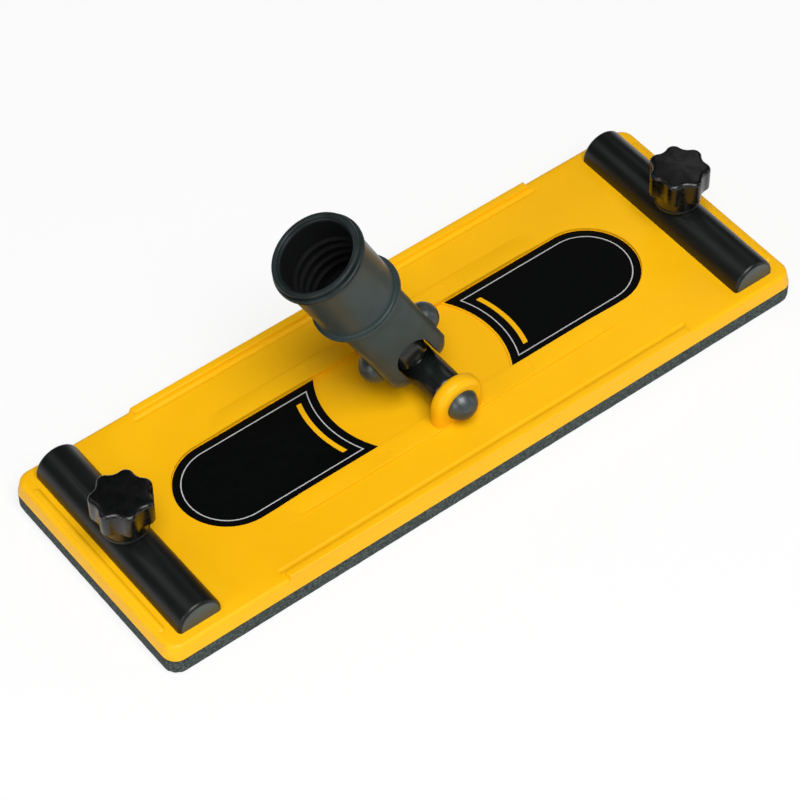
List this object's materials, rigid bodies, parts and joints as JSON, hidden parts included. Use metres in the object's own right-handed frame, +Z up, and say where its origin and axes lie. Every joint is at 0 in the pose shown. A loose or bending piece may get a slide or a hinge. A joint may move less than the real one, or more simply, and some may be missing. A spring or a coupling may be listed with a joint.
{
  "type": "pole drywall sander head",
  "caption": "Pole drywall sander head: padded rectangular plate with knob-tightened clamp bars for abrasive sheet and a universal swivel that carries a threaded pole socket.",
  "frame": {"origin": "centre of the pad's underside, the face that the abrasive sheet covers", "axes": "+X along the plate's length, +Z up out of the plate; the swivel rests leaning towards -X and the socket slightly towards +Y"},
  "size_m": [0.235, 0.082, 0.083],
  "materials": {
    "yellow_plate": "smooth moulded, satin gloss",
    "foam": "matt sponge rubber with fine pores",
    "label_film": "printed film",
    "pin_black": "black coated steel",
    "swivel_black": "glossy moulded plastic",
    "socket_black": "satin moulded plastic",
    "bar_black": "satin moulded plastic",
    "knob_black": "glossy moulded plastic",
    "washer_black": "matt nylon",
    "bolt_steel": "zinc plated",
    "insert_brass": "turned"
  },
  "bodies": {
    "base": {"base_plate": "yellow_plate", "foam_pad": "foam", "label_left": "label_film", "label_right": "label_film", "base_pivot_pin": "pin_black", "base_pivot_cap": "pin_black", "clamp_bolt_left": "bolt_steel", "clamp_bolt_right": "bolt_steel"},
    "swivel": {"swivel_cross": "swivel_black"},
    "socket": {"pole_socket": "socket_black", "fork_pivot_pin": "pin_black", "fork_pivot_cap": "pin_black"},
    "left_bar": {"clamp_bar_left": "bar_black", "clamp_washer_left": "washer_black"},
    "left_knob": {"clamp_knob_left": "knob_black", "knob_insert_left": "insert_brass"},
    "right_bar": {"clamp_bar_right": "bar_black", "clamp_washer_right": "washer_black"},
    "right_knob": {"clamp_knob_right": "knob_black", "knob_insert_right": "insert_brass"}
  },
  "joints": [
    {"name": "swivel_tilt", "type": "hinge", "parent": "base", "child": "swivel", "pos_m": [0, 0, 0.0181], "axis": [0, 1, 0], "range_deg": [-31.5, 84.5]},
    {"name": "socket_tilt", "type": "hinge", "parent": "swivel", "child": "socket", "pos_m": [-0.00509, 0, 0.0283], "axis": [0.8949, 0, 0.4462], "range_deg": [-43, 57]},
    {"name": "left_bar_lift", "type": "slide", "parent": "base", "child": "left_bar", "axis": [0, 0, 1], "range_m": [0, 0.004]},
    {"name": "left_knob_turn", "type": "hinge", "parent": "left_bar", "child": "left_knob", "pos_m": [-0.104, 0, 0.0274], "axis": [0, 0, 1], "range_deg": [0, 1440]},
    {"name": "right_bar_lift", "type": "slide", "parent": "base", "child": "right_bar", "axis": [0, 0, 1], "range_m": [0, 0.004]},
    {"name": "right_knob_turn", "type": "hinge", "parent": "right_bar", "child": "right_knob", "pos_m": [0.104, 0, 0.0274], "axis": [0, 0, 1], "range_deg": [0, 1440]}
  ],
  "couplings": [
    {"joint": "left_knob_turn", "follows": "left_bar_lift", "rad_per_m": 6283.2},
    {"joint": "right_knob_turn", "follows": "right_bar_lift", "rad_per_m": 6283.2}
  ]
}
